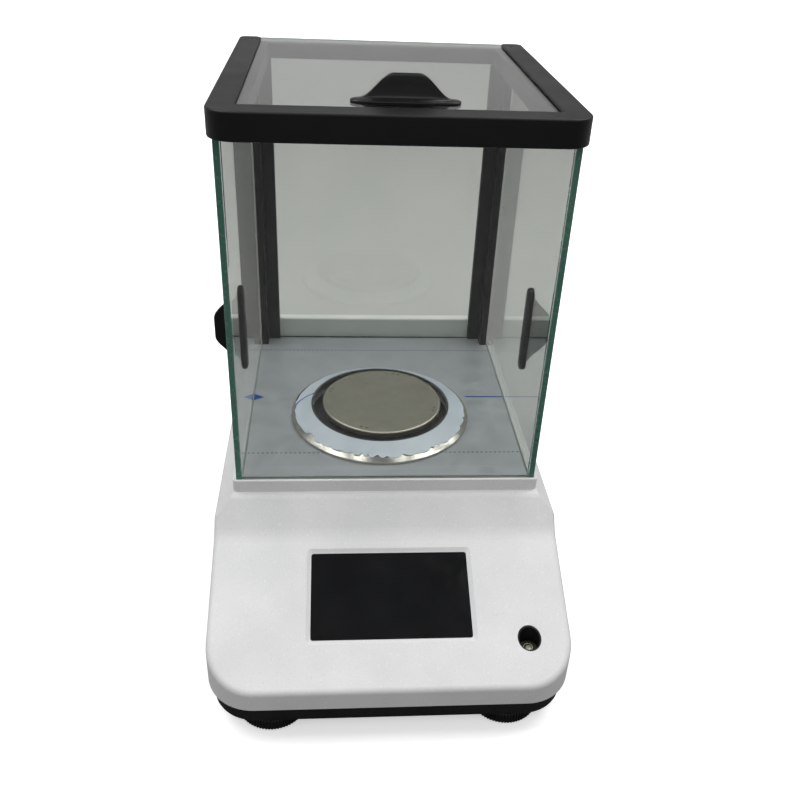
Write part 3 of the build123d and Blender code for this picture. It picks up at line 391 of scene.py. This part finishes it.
def pan_sheet():
    """The pan: satin top with four pairs of tiny stamped marks, and a polished rim where it is bent, painted
    paler as a highlight.
    """
    s = Surface("pan_stainless", Metallic=1.0)
    top = srgb(147, 145, 134)
    dark = srgb(134, 131, 120)
    base = s.tint(top, s.patches(0.9), 0.5, dark)
    base = s.tint(base, s.stains(18), 0.5, dark)
    for direction in MARK_DIRECTIONS:
        for offset in (-MARK_OFFSET, MARK_OFFSET):
            turn = math.radians(direction + offset)
            x = PAN_MIDDLE.x + MARK_REACH * math.cos(turn)
            y = PAN_MIDDLE.y + MARK_REACH * math.sin(turn)
            paler_middle = s.maths("MULTIPLY", s.near(x, y, 0.3, 0.1), 0.5)
            mark = s.maths("SUBTRACT", s.near(x, y, 1.0, 0.15), paler_middle)
            base = s.tint(base, mark, 0.7, srgb(72, 70, 64))
    # Painted highlight: the bent rim is painted much paler than the top. Its lower roughness is its real
    # polish.
    rim = s.remap(s.axis("Z"), PAN_TOP - 0.08, PAN_TOP - 0.35)
    s.colour(s.mix(rim, base, srgb(214, 208, 194)))
    satin = s.maths("MULTIPLY", s.uneven(9.0, 0.44, 0.54, 4.0), s.maths("SUBTRACT", 1.0, rim))
    s.roughness(s.maths("ADD", satin, s.maths("MULTIPLY", rim, 0.3)))
    s.bump(s.noise(0.7, 3.0), 0.0015, 0.5)
    return s.material


# Within this radius the ring's bore is painted dark as shade, in mm.
SHADED_BORE_RADIUS = 47.75
TURNED_RINGS_PER_MM = 2.6


def ring_sheet():
    """The draft ring: polished stainless with very fine turned rings and soft stains, and a bore painted dark
    and not metallic, as painted shade.
    """
    s = Surface("ring_stainless")
    bright = srgb(196, 194, 188)
    dark = darker(bright, 0.86)
    outward = s.node("ShaderNodeCombineXYZ")
    reach = s.reach(RING_MIDDLE.x, RING_MIDDLE.y)
    s.link(s.maths("MULTIPLY", reach, TURNED_RINGS_PER_MM * MM), outward.inputs[0])
    turned = s.noise(1.0, 2.0, place=outward.outputs[0])
    polished = s.mix(s.remap(turned, 0.3, 0.7), dark, bright)
    polished = s.tint(polished, s.stains(18), 0.35, dark)
    # Painted shade: inside this radius the bore is painted dark grey and not metallic, as if in shadow.
    bore = s.near(RING_MIDDLE.x, RING_MIDDLE.y, SHADED_BORE_RADIUS, 0.12)
    s.colour(s.mix(bore, polished, srgb(58, 60, 60)))
    s.link(s.maths("SUBTRACT", 1.0, bore), s.shader.inputs["Metallic"])
    s.roughness(s.maths("ADD", s.uneven(9.0, 0.16, 0.26, 4.0), s.maths("MULTIPLY", bore, 0.4)))
    s.bump(turned, 0.0012, 0.5)
    s.bump(s.noise(0.5), 0.0012, 0.5)
    return s.material


BY_SLOT = {
    "white_housing": white_housing(),
    "black_plastic": black_plastic("black_moulding"),
    "black_frame": black_frame(),
    "sill_grey": grey_sill(),
    "screen_glass": screen_glass(),
    "stainless": ring_sheet(),
    "floor_steel": floor_steel(),
    "steel": steel("machined_steel", srgb(188, 188, 186)),
    "black_screws": steel("screw_steel", srgb(112, 112, 111), (0.3, 0.45), (3, 3, 3)),
    "brass": steel("machined_brass", srgb(206, 172, 104)),
    "cell_aluminium": steel("machined_aluminium", srgb(204, 205, 207)),
    "copper_coil": steel("enamelled_copper", srgb(176, 92, 54), (0.2, 0.34), (0.6, 0.6, 9)),
    "foot_rubber": rubber(),
    "circuit_board": circuit_board(),
    "display_back": black_plastic("display_back", 0.8, 0.5, 0.65, 30),
    "vial_glass": vial_liquid(),
    "socket_plastic": black_plastic("socket_moulding", 0.4, 0.45, 0.6, 22),
    "clear_glass": clear_glass(),
}
BY_NODE = {
    "pan": pan_sheet(),
    # Painted shade: the collar in the gap round the pan is made dark grey, as if shadow fills it.
    "cell_collar": black_plastic("collar_painted_shade", 0.4, 0.6, 0.75, 58),
}


def paint_frame():
    """Every CAD node takes its own material, or else the material of its slot in the record."""
    slots = {part["node"]: part["material_slot"] for part in frame["record"]["subparts"]}
    for name, obj in frame["nodes"].items():
        for place in obj.material_slots:
            place.material = BY_NODE.get(name, BY_SLOT[slots[name]])


paint_frame()


# ---- mesh helpers ----------------------------------------------------------------------------------
def piece(name, made, materials, body):
    """Turns made into an object with its materials, and lets it ride on a CAD body."""
    mesh = bpy.data.meshes.new(name)
    made.to_mesh(mesh)
    made.free()
    obj = bpy.data.objects.new(name, mesh)
    bpy.context.scene.collection.objects.link(obj)
    for material in materials:
        mesh.materials.append(material)
    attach(obj, body)
    return obj


def smooth_by_angle(mesh, degrees):
    mesh.polygons.foreach_set("use_smooth", [True] * len(mesh.polygons))
    mesh.set_sharp_from_angle(angle=math.radians(degrees))


def box_mesh(low, high, bevel):
    """A box with small rounded edges."""
    made = bmesh.new()
    bmesh.ops.create_cube(made, size=1.0)
    size = high - low
    for vertex in made.verts:
        vertex.co = Vector((low[i] + size[i] * (vertex.co[i] + 0.5) for i in range(3)))
    bmesh.ops.bevel(made, geom=list(made.edges), offset=bevel, segments=2, affect="EDGES", profile=0.5)
    return made


# ---- glass panes -----------------------------------------------------------------------------------
PANE_BEVEL = 0.35
EDGE_GLASS = glass_edge()


def make_pane(node, body):
    """A pane with ground edges: clear on its two large faces, green along its edges."""
    low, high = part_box(node)
    size = high - low
    thin = min(range(3), key=lambda i: size[i])
    made = box_mesh(low, high, PANE_BEVEL * MM)
    for face in made.faces:
        if abs(face.normal[thin]) < 0.9:
            face.material_index = 1
    pane = piece(node + "_pane", made, [BY_SLOT["clear_glass"], EDGE_GLASS], body)
    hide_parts(node)


make_pane("front_glass", "base")
make_pane("rear_glass", "base")
make_pane("left_door_glass", "left_door")
make_pane("right_door_glass", "right_door")
make_pane("top_door_glass", "top_door")


# ---- door grips ------------------------------------------------------------------------------------
def gloss_black():
    """Polished black moulding of the grips, with fine hairlines from handling."""
    s = Surface("glossy_black_moulding", Specular_IOR_Level=0.34)
    base = s.mix(s.patches(16), srgb(4, 5, 6), srgb(9, 10, 11))
    s.colour(s.tint(base, s.edges(0.3), 0.2, srgb(60, 62, 63)))
    hair = s.noise(1.0, 3.0, place=s.stretched((900, 120, 120)))
    s.roughness(s.remap(hair, 0.35, 0.75, 0.20, 0.32))
    s.bump(s.noise(4.0), 0.004, 0.4)
    return s.material


GLOSS_BLACK = gloss_black()

# Half of the pad's cross section as (share of its half width, height in mm), and how far each of these points
# follows the fin outward.
PAD_PROFILE = ((1.0, 0.0), (1.0, 0.35), (0.97, 0.75), (0.88, 1.05), (0.74, 1.24), (0.58, 1.36), (0.46, 1.44),
               (0.38, 1.5), (0.33, 1.54), (0.30, 1.56), (0.26, 1.58), (0.16, 1.6))
FIN_PROFILE = (0.0, 0.0, 0.0, 0.0, 0.02, 0.06, 0.14, 0.30, 0.62, 0.86, 0.97, 1.0)
PAD_HEIGHT = PAD_PROFILE[-1][1]
FIN_CREST_HALF_LENGTH = 6.5
FIN_FLARE = 18.5
GRIP_STATIONS = 72


def make_grip(node, plate, body, outward, along):
    """A pad with rounded ends on the pane and, on the outer side, a bell shaped fin that flares into it."""
    low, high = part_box(node)
    up, run = Vector(outward), Vector(along)
    side = up.cross(run)
    size = (high - low) / MM
    half_length = abs(size.dot(run)) / 2
    half_width = abs(size.dot(side)) / 2
    tall = abs(size.dot(up))
    foot = (low + high) / 2 - up * (tall * MM / 2)
    fin = 0.0 if plate else tall - PAD_HEIGHT
    thick = tall / PAD_HEIGHT if plate else 1.0
    made = bmesh.new()
    rows = []
    for i in range(GRIP_STATIONS + 1):
        s = -half_length * math.cos(math.pi * i / GRIP_STATIONS)
        over = max(0.0, abs(s) - (half_length - half_width)) / half_width
        pinch = max(0.12, math.sqrt(max(0.0, 1 - over * over)))
        height_share = 0.45 + 0.55 * pinch
        reach = min(1.0, max(0.0, (abs(s) - FIN_CREST_HALF_LENGTH) / FIN_FLARE))
        bell = 1 - reach * reach * (3 - 2 * reach)
        right = [(w * half_width * pinch, z * thick * height_share + share * fin * bell)
                 for (w, z), share in zip(PAD_PROFILE, FIN_PROFILE)]
        left = [(-w, z) for w, z in reversed(right)]
        crest = (0.0, right[-1][1] + 0.02)
        outline = [*right, crest, *left]
        rows.append([made.verts.new(foot + (run * s + side * w + up * z) * MM) for w, z in outline])
    for one, two in zip(rows, rows[1:]):
        for j in range(len(one)):
            k = (j + 1) % len(one)
            made.faces.new((one[j], one[k], two[k], two[j]))
    made.faces.new(rows[0])
    made.faces.new(rows[-1])
    bmesh.ops.recalc_face_normals(made, faces=made.faces)
    obj = piece(node + "_moulding", made, [GLOSS_BLACK], body)
    smooth_by_angle(obj.data, 48)
    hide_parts(node)


for door, outward, along in (("left_door", (-1, 0, 0), (0, 0, 1)), ("right_door", (1, 0, 0), (0, 0, 1)),
                             ("top_door", (0, 0, 1), (1, 0, 0))):
    make_grip(door + "_grip", False, door, outward, along)
    make_grip(door + "_plate", True, door, tuple(-c for c in outward), along)


# ---- spirit level ----------------------------------------------------------------------------------
def pale_ring():
    """Pale print of the level's target ring."""
    s = Surface("printed_target_ring", Specular_IOR_Level=0.4)
    s.colour(s.mix(s.patches(2.0, 2.0), srgb(176, 178, 168), srgb(200, 202, 192)))
    s.roughness(s.uneven(1.0, 0.3, 0.45, 2.0))
    s.bump(s.noise(0.4), 0.002, 0.4)
    return s.material


def bubble_skin():
    """The bright skin of the level's bubble."""
    s = Surface("level_bubble", Specular_IOR_Level=0.8, Coat_Weight=0.6, Coat_Roughness=0.03)
    s.colour(s.mix(s.patches(1.5, 2.0), srgb(138, 142, 118), srgb(162, 166, 140)))
    s.roughness(s.uneven(1.0, 0.04, 0.10, 2.0))
    s.bump(s.noise(1.2, 1.0), 0.003, 0.3)
    return s.material


TARGET_RADIUS = 2.7
TARGET_WIRE = 0.16
BUBBLE_RADIUS = 1.9
BUBBLE_OFFSET = (0.3, -0.4, 0.16)
BUBBLE_RISE = 0.34
BUBBLE_DEPTH = 0.12


def make_level_target(x, y, top):
    """A thin ring of round section that lies on the vial."""
    ring = bmesh.new()
    loops, sides = 48, 8
    turns = []
    for i in range(loops):
        angle = math.tau * i / loops
        turns.append([])
        for j in range(sides):
            lean = math.tau * j / sides
            reach = (TARGET_RADIUS + TARGET_WIRE * math.cos(lean)) * MM
            z = top + TARGET_WIRE * MM * (0.9 + math.sin(lean))
            turns[-1].append(ring.verts.new((x + reach * math.cos(angle), y + reach * math.sin(angle), z)))
    for i in range(loops):
        one, two = turns[i], turns[(i + 1) % loops]
        for j in range(sides):
            k = (j + 1) % sides
            ring.faces.new((one[j], two[j], two[k], one[k]))
    obj = piece("level_target", ring, [pale_ring()], "base")
    smooth_by_angle(obj.data, 60)


def make_level_bubble(x, y, top):
    """A flat bubble, a little off the middle of the target."""
    bubble = bmesh.new()
    bmesh.ops.create_icosphere(bubble, subdivisions=3, radius=1.0)
    middle = Vector((x, y, top)) + Vector(BUBBLE_OFFSET) * MM
    for vertex in bubble.verts:
        flat = BUBBLE_RISE if vertex.co.z > 0 else BUBBLE_DEPTH
        vertex.co = middle + vertex.co * Vector((BUBBLE_RADIUS, BUBBLE_RADIUS, flat)) * MM
    obj = piece("level_bubble", bubble, [bubble_skin()], "base")
    smooth_by_angle(obj.data, 80)


vial_low, vial_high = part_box("level_vial")
vial_x, vial_y = (vial_low.x + vial_high.x) / 2, (vial_low.y + vial_high.y) / 2
make_level_target(vial_x, vial_y, vial_high.z)
make_level_bubble(vial_x, vial_y, vial_high.z)


# ---- protective film on the draft ring -------------------------------------------------------------
# A blue arc is printed on the film: its centre from the ring's middle, its radius, and half its width, in mm.
ARC_OFFSET = (-48.8, 1.75)
ARC_RADIUS = 10.6
ARC_HALF_WIDTH = 0.8

# The film reaches from its bore to near the ring's edge, and stays clear of the ring's foot. Sizes are in mm.
FILM_BORE = 47.9
FILM_MARGIN = 1.3
FILM_FOOT = 2.5
FILM_STEPS = 420
FILM_ROWS = 9
FILM_CLEARANCE = 0.06
FILM_THICKNESS = 0.09
CURL_START = 0.72


def film():
    """Milky blue protective film, pulled tight in some places and crinkled in others."""
    s = Surface("milky_film", Specular_IOR_Level=0.5, Coat_Weight=0.2, Coat_Roughness=0.1)
    base = s.mix(s.patches(26), srgb(186, 196, 210), srgb(202, 210, 222))
    creases = s.remap(s.noise(1.0, 4.0, twist=0.8, place=s.stretched((60, 60, 60))), 0.52, 0.60)
    base = s.tint(base, creases, 0.18, srgb(232, 236, 242))
    from_centre = s.reach(RING_MIDDLE.x + ARC_OFFSET[0], RING_MIDDLE.y + ARC_OFFSET[1])
    arc = s.band(from_centre, ARC_RADIUS, ARC_HALF_WIDTH)
    rear_half = s.remap(s.axis("Y"), RING_MIDDLE.y, RING_MIDDLE.y + 0.5)
    s.colour(s.mix(s.maths("MULTIPLY", arc, rear_half), base, srgb(20, 78, 162)))
    s.roughness(s.uneven(7.0, 0.28, 0.46, 4.0))
    s.bump(s.noise(1.0, 3.0, twist=1.0, place=s.stretched((110, 110, 110))), 0.05, 0.5)
    return s.material


def torn_depths(steps):
    """How far the film's edge is torn back at each step round the ring, in mm: waves, and nicks in front."""
    chance = random.Random(7)
    waves = [(chance.randint(3, 40), chance.uniform(0, math.tau), chance.uniform(0.2, 1.0))
             for _ in range(16)]
    first, last = math.pi * 1.05, math.tau * 0.99
    nicks = [(chance.uniform(first, last), chance.uniform(0.6, 2.4), chance.uniform(0.01, 0.05))
             for _ in range(26)]
    depths = []
    for i in range(steps):
        angle = math.tau * i / steps
        ragged = sum(size * math.sin(count * angle + shift) for count, shift, size in waves) / 6
        front = 0.5 - 0.5 * math.sin(angle)
        torn = 0.9 + 0.9 * front + ragged * (0.35 + 0.4 * front)
        for middle, depth, wide in nicks:
            gap = (angle - middle + math.pi) % math.tau - math.pi
            torn += depth * max(0.0, 1 - abs(gap) / wide)
        depths.append(max(0.15, torn))
    return depths


def make_ring_film():
    """The film lies on the ring's cone and is torn off raggedly along its outer edge, where it curls up."""
    edge = (ring_high.x - ring_low.x) / 2 / MM - FILM_MARGIN
    top, foot = ring_high.z / MM, ring_low.z / MM + FILM_FOOT
    slope = (top - foot) / (edge - FILM_BORE)
    away = Vector((slope, 0, 1)).normalized()
    made = bmesh.new()
    under, over = [], []
    torn = torn_depths(FILM_STEPS)
    for skin, lines in enumerate((under, over)):
        for i in range(FILM_STEPS):
            angle = math.tau * i / FILM_STEPS
            front = 0.5 - 0.5 * math.sin(angle)
            width = edge - torn[i] - FILM_BORE
            line = []
            for j in range(FILM_ROWS):
                share = j / (FILM_ROWS - 1)
                run = width * share
                waver = 3.2 + 2.6 * math.sin(23 * angle) + 2.0 * math.sin(57 * angle + 1)
                curl = max(0.0, share - CURL_START) ** 2 * waver
                lift = FILM_CLEARANCE + FILM_THICKNESS * skin + max(0.0, curl) * (0.3 + front)
                r = (FILM_BORE + run + away.x * lift) * MM
                z = (top - slope * run + away.z * lift) * MM
                x = RING_MIDDLE.x * MM + r * math.cos(angle)
                y = RING_MIDDLE.y * MM + r * math.sin(angle)
                line.append(made.verts.new((x, y, z)))
            lines.append(line)
    for i in range(FILM_STEPS):
        k = (i + 1) % FILM_STEPS
        for j in range(FILM_ROWS - 1):
            made.faces.new((over[i][j], over[i][j + 1], over[k][j + 1], over[k][j]))
            made.faces.new((under[i][j], under[k][j], under[k][j + 1], under[i][j + 1]))
        for j, flip in ((0, False), (FILM_ROWS - 1, True)):
            loop = [under[i][j], over[i][j], over[k][j], under[k][j]]
            made.faces.new(reversed(loop) if flip else loop)
    bmesh.ops.recalc_face_normals(made, faces=made.faces)
    obj = piece("ring_film", made, [film()], "draft_ring")
    smooth_by_angle(obj.data, 40)


make_ring_film()


# ---- studio ----------------------------------------------------------------------------------------
CAMERA_PLACE = (-0.0344, -0.4991, 0.4362)
CAMERA_RIGHT = (0.9973, -0.0631, 0.0386)
CAMERA_UP = (0.0003, 0.5251, 0.8511)
CAMERA_AHEAD = (0.0740, 0.8487, -0.5236)


def make_camera():
    """A camera that looks down on the balance from the front, a little from the left."""
    data = bpy.data.cameras.new("camera")
    data.lens = 39.0
    data.sensor_width = 36.0
    data.shift_x = 0.0044
    data.shift_y = -0.0021
    data.clip_start = 0.01
    obj = bpy.data.objects.new("camera", data)
    bpy.context.scene.collection.objects.link(obj)
    turn = Matrix((CAMERA_RIGHT, CAMERA_UP, -Vector(CAMERA_AHEAD))).transposed().to_4x4()
    obj.matrix_world = Matrix.Translation(CAMERA_PLACE) @ turn
    bpy.context.scene.camera = obj


SWEEP_FRONT = -2.2
SWEEP_BACK = 1.6
SWEEP_BEND = 0.5
SWEEP_TOP = 2.4
SWEEP_HALF_WIDTH = 2.6
BEND_STEPS = 12


def pale_floor():
    """White paper for the camera. Reflections and bounced light see it darker, most of all in front."""
    s = Surface("pale_floor", Specular_IOR_Level=0.1, Emission_Color=(1, 1, 1, 1))
    path = s.node("ShaderNodeLightPath")
    seen, through = path.outputs["Is Camera Ray"], path.outputs["Is Transmission Ray"]
    paper = s.mix(s.remap(s.noise(300), 0.3, 0.7), srgb(250, 250, 250), srgb(252, 252, 252))
    to_back = s.remap(s.axis("Y"), -200, 500)
    bounced = s.mix(s.maths("MAXIMUM", to_back, through), srgb(112, 113, 113), srgb(178, 179, 178))
    s.colour(s.mix(seen, bounced, paper))
    s.link(s.maths("MULTIPLY", seen, 0.45), s.shader.inputs["Emission Strength"])
    s.roughness(s.uneven(40, 0.85, 0.95, 2.0))
    s.bump(s.noise(3.0), 0.02, 0.1)
    return s.material


def make_floor():
    """A plain pale sweep under and behind the balance."""
    profile = [(SWEEP_FRONT, 0.0)]
    for step in range(BEND_STEPS + 1):
        angle = math.pi / 2 * step / BEND_STEPS
        y = SWEEP_BACK - SWEEP_BEND * (1 - math.sin(angle))
        profile.append((y, SWEEP_BEND * (1 - math.cos(angle))))
    profile.append((SWEEP_BACK, SWEEP_TOP))
    made = bmesh.new()
    left = [made.verts.new((-SWEEP_HALF_WIDTH, y, z)) for y, z in profile]
    right = [made.verts.new((SWEEP_HALF_WIDTH, y, z)) for y, z in profile]
    for i in range(len(profile) - 1):
        made.faces.new((left[i], right[i], right[i + 1], left[i + 1]))
    mesh = bpy.data.meshes.new("studio_floor")
    made.to_mesh(mesh)
    made.free()
    mesh.polygons.foreach_set("use_smooth", [True] * len(mesh.polygons))
    mesh.materials.append(pale_floor())
    floor = bpy.data.objects.new("studio_floor", mesh)
    bpy.context.scene.collection.objects.link(floor)


def area_light(name, place, target, size, power):
    data = bpy.data.lights.new(name, "AREA")
    data.shape = "RECTANGLE"
    data.size, data.size_y = size
    data.energy = power
    obj = bpy.data.objects.new(name, data)
    bpy.context.scene.collection.objects.link(obj)
    obj.location = place
    aim = Vector(target) - Vector(place)
    obj.rotation_euler = aim.to_track_quat("-Z", "Y").to_euler()


def make_room():
    """The world: white for the camera. For all other rays it is soft light that fades straight above."""
    world = bpy.data.worlds.new("studio")
    bpy.context.scene.world = world
    world.use_nodes = True
    tree = world.node_tree
    place = tree.nodes.new("ShaderNodeTexCoord").outputs["Generated"]
    parts = tree.nodes.new("ShaderNodeSeparateXYZ")
    tree.links.new(place, parts.inputs[0])
    fade = tree.nodes.new("ShaderNodeMapRange")
    for label, value in (("From Min", 0.80), ("From Max", 0.96), ("To Min", 0.5), ("To Max", 0.12)):
        fade.inputs[label].default_value = value
    tree.links.new(parts.outputs["Z"], fade.inputs["Value"])
    room = tree.nodes["Background"]
    room.inputs["Color"].default_value = (1, 1, 1, 1)
    tree.links.new(fade.outputs["Result"], room.inputs["Strength"])
    white = tree.nodes.new("ShaderNodeBackground")
    white.inputs["Color"].default_value = (1, 1, 1, 1)
    white.inputs["Strength"].default_value = 1.1
    pick = tree.nodes.new("ShaderNodeMixShader")
    tree.links.new(tree.nodes.new("ShaderNodeLightPath").outputs["Is Camera Ray"], pick.inputs[0])
    tree.links.new(room.outputs[0], pick.inputs[1])
    tree.links.new(white.outputs[0], pick.inputs[2])
    tree.links.new(pick.outputs[0], tree.nodes["World Output"].inputs["Surface"])


def make_lights():
    balance = (0, 0, 0.1)
    area_light("overhead_left", (-0.75, 0.1, 1.5), balance, (0.9, 1.2), 13)
    area_light("overhead_right", (0.8, 0.25, 1.5), balance, (0.9, 1.2), 13)
    area_light("backdrop_light", (0.0, 0.7, 1.6), (0, 1.6, 0.5), (1.8, 0.4), 6)
    area_light("front_high", (0.1, -1.1, 1.35), balance, (1.3, 0.7), 3)


make_camera()
make_floor()
make_room()
make_lights()
bpy.context.scene.view_settings.view_transform = "Standard"
bpy.context.scene.view_settings.look = "None"
